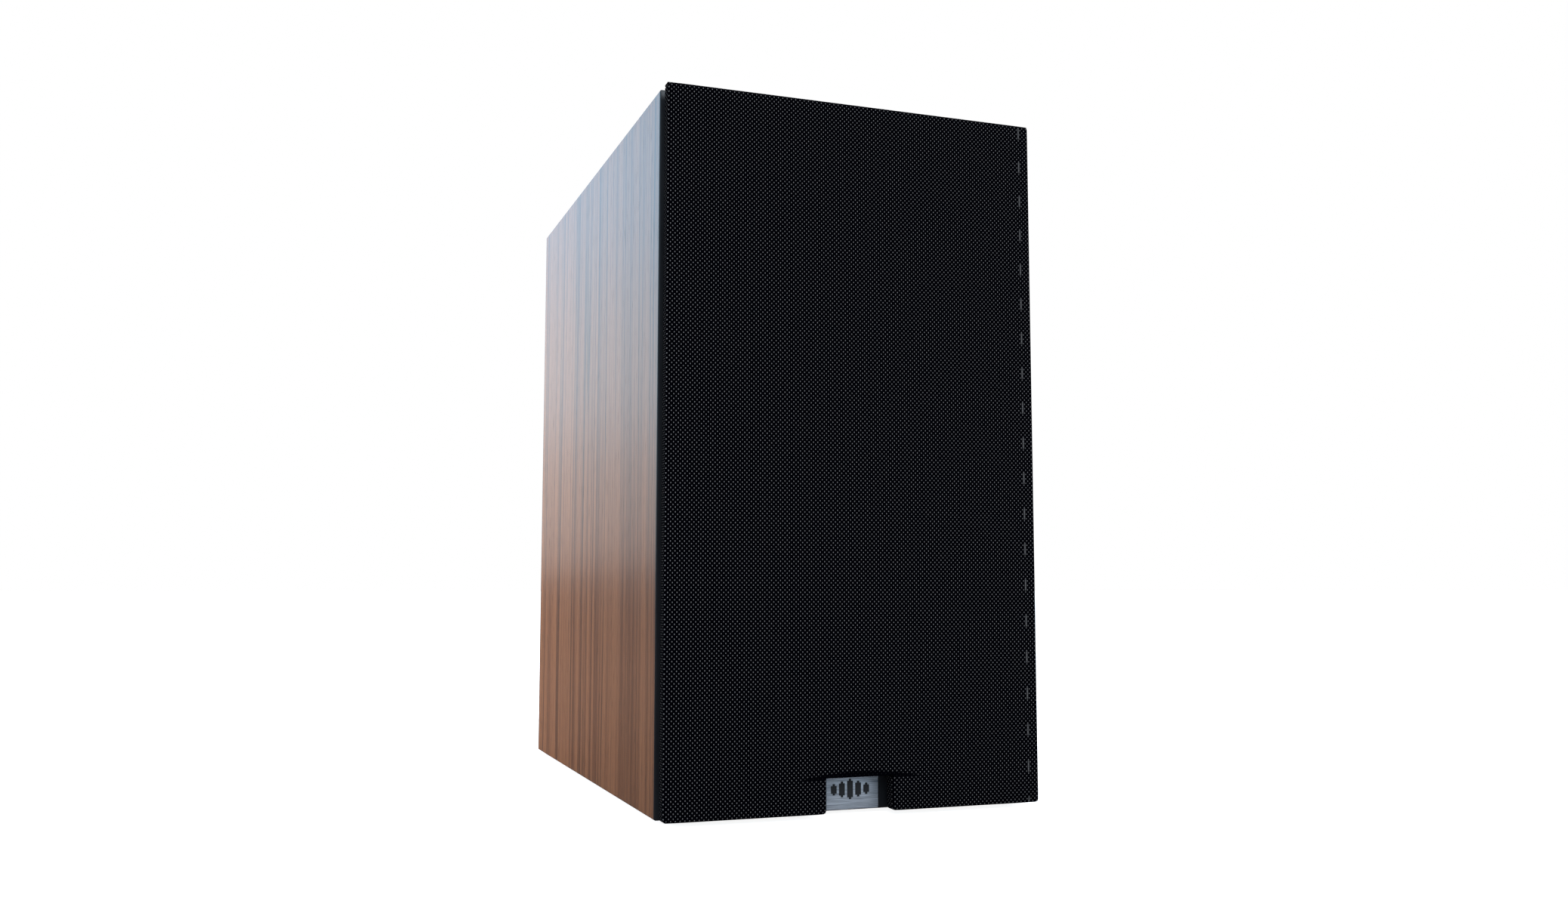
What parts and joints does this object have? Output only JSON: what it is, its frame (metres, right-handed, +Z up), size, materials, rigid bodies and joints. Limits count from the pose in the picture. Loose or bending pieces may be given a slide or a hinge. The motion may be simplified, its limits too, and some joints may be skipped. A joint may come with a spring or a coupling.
{
  "type": "bookshelf speaker",
  "caption": "Two-way bookshelf loudspeaker: walnut-veneered cabinet with a black cloth magnetic grille, woofer, tweeter, rear port and binding posts.",
  "frame": {"origin": "centre of the whole object's box, at the underside of the feet", "axes": "+X is the viewer's right facing the grille, the front faces -Y, +Z is up"},
  "size_m": [0.202, 0.338, 0.362],
  "materials": {
    "walnut_veneer": "satin veneer",
    "fibreboard": "raw",
    "black_lacquer": "matt black lacquer",
    "wadding": "soft polyester",
    "foot_rubber": "matt",
    "badge_aluminium": "brushed",
    "magnet_steel": "nickel plated",
    "gasket_foam": "closed-cell foam",
    "basket_paint": "satin black",
    "trim_plastic": "fine texture",
    "black_screw": "black oxide",
    "plated_steel": "zinc plated",
    "ferrite": "sintered",
    "terminal_brass": "gold plated",
    "surround_rubber": "satin",
    "spider_cloth": "resin treated",
    "tinsel_copper": "braided",
    "cone_paper": "coated pulp",
    "former": "film",
    "copper_wire": "enamelled",
    "dome_silk": "coated silk",
    "mesh_steel": "black mesh",
    "cup_plastic": "satin",
    "red_plastic": "gloss",
    "black_plastic": "gloss",
    "board_resin": "solder mask",
    "capacitor_film": "wrapped film",
    "resistor_cement": "cement",
    "wire_red": "PVC",
    "wire_black": "PVC",
    "grille_plastic": "moulded",
    "grille_cloth": "plain weave"
  },
  "bodies": {
    "cabinet": {"side_panels": "fibreboard", "top_panel": "fibreboard", "bottom_panel": "fibreboard", "back_panel": "black_lacquer", "front_baffle": "black_lacquer", "veneer_wrap": "walnut_veneer", "shelf_brace": "fibreboard", "damping_pads": "wadding", "rubber_feet": "foot_rubber", "badge_plate": "badge_aluminium", "baffle_magnets": "magnet_steel", "woofer_gasket": "gasket_foam", "woofer_basket": "basket_paint", "woofer_trim_ring": "trim_plastic", "woofer_screws": "black_screw", "woofer_top_plate": "plated_steel", "woofer_magnet": "ferrite", "woofer_back_plate": "plated_steel", "driver_terminals": "terminal_brass", "woofer_surround": "surround_rubber", "woofer_spider": "spider_cloth", "woofer_leads": "tinsel_copper", "tweeter_gasket": "gasket_foam", "tweeter_waveguide": "trim_plastic", "tweeter_mesh": "mesh_steel", "tweeter_screws": "black_screw", "tweeter_top_plate": "plated_steel", "tweeter_magnet": "ferrite", "tweeter_back_plate": "plated_steel", "tweeter_rear_cup": "trim_plastic", "tweeter_surround": "dome_silk", "terminal_cup": "cup_plastic", "terminal_screws": "black_screw", "binding_posts": "terminal_brass", "post_collar_red": "red_plastic", "post_collar_black": "black_plastic", "post_rear_nuts": "terminal_brass", "crossover_board": "board_resin", "crossover_coils": "copper_wire", "crossover_capacitors": "capacitor_film", "crossover_resistors": "resistor_cement", "crossover_screws": "plated_steel", "port_tube": "trim_plastic", "wiring_red": "wire_red", "wiring_black": "wire_black"},
    "grille": {"grille_frame": "grille_plastic", "grille_rib": "grille_plastic", "grille_cloth": "grille_cloth", "grille_hem": "grille_cloth", "grille_magnets": "magnet_steel"},
    "woofer_piston": {"woofer_cone": "cone_paper", "woofer_dust_cap": "cone_paper", "woofer_coil_former": "former", "woofer_coil_winding": "copper_wire"},
    "tweeter_piston": {"tweeter_dome": "dome_silk", "tweeter_coil": "copper_wire"},
    "red_washer": {"post_washer_red": "terminal_brass"},
    "red_nut": {"post_nut_red": "red_plastic"},
    "black_washer": {"post_washer_black": "terminal_brass"},
    "black_nut": {"post_nut_black": "black_plastic"}
  },
  "joints": [
    {"name": "grille_pull", "type": "slide", "parent": "cabinet", "child": "grille", "axis": [0, -1, 0], "range_m": [0, 0.08]},
    {"name": "woofer_stroke", "type": "slide", "parent": "cabinet", "child": "woofer_piston", "axis": [0, -1, 0], "range_m": [-0.006, 0.006], "stiffness_N_per_m": 1200, "deforming": ["woofer_surround", "woofer_spider", "woofer_leads"]},
    {"name": "tweeter_stroke", "type": "slide", "parent": "cabinet", "child": "tweeter_piston", "axis": [0, -1, 0], "range_m": [-0.0004, 0.0004], "stiffness_N_per_m": 800, "deforming": ["tweeter_surround"]},
    {"name": "red_nut_travel", "type": "slide", "parent": "cabinet", "child": "red_washer", "axis": [0, 1, 0], "range_m": [0, 0.006]},
    {"name": "red_nut_turn", "type": "hinge", "parent": "red_washer", "child": "red_nut", "pos_m": [-0.0095, 0.15945, 0.094], "axis": [0, 1, 0], "range_deg": [0, 2160]},
    {"name": "black_nut_travel", "type": "slide", "parent": "cabinet", "child": "black_washer", "axis": [0, 1, 0], "range_m": [0, 0.006]},
    {"name": "black_nut_turn", "type": "hinge", "parent": "black_washer", "child": "black_nut", "pos_m": [0.0095, 0.15945, 0.094], "axis": [0, 1, 0], "range_deg": [0, 2160]}
  ],
  "couplings": [
    {"joint": "red_nut_turn", "follows": "red_nut_travel", "rad_per_m": 6283.2},
    {"joint": "black_nut_turn", "follows": "black_nut_travel", "rad_per_m": 6283.2}
  ]
}
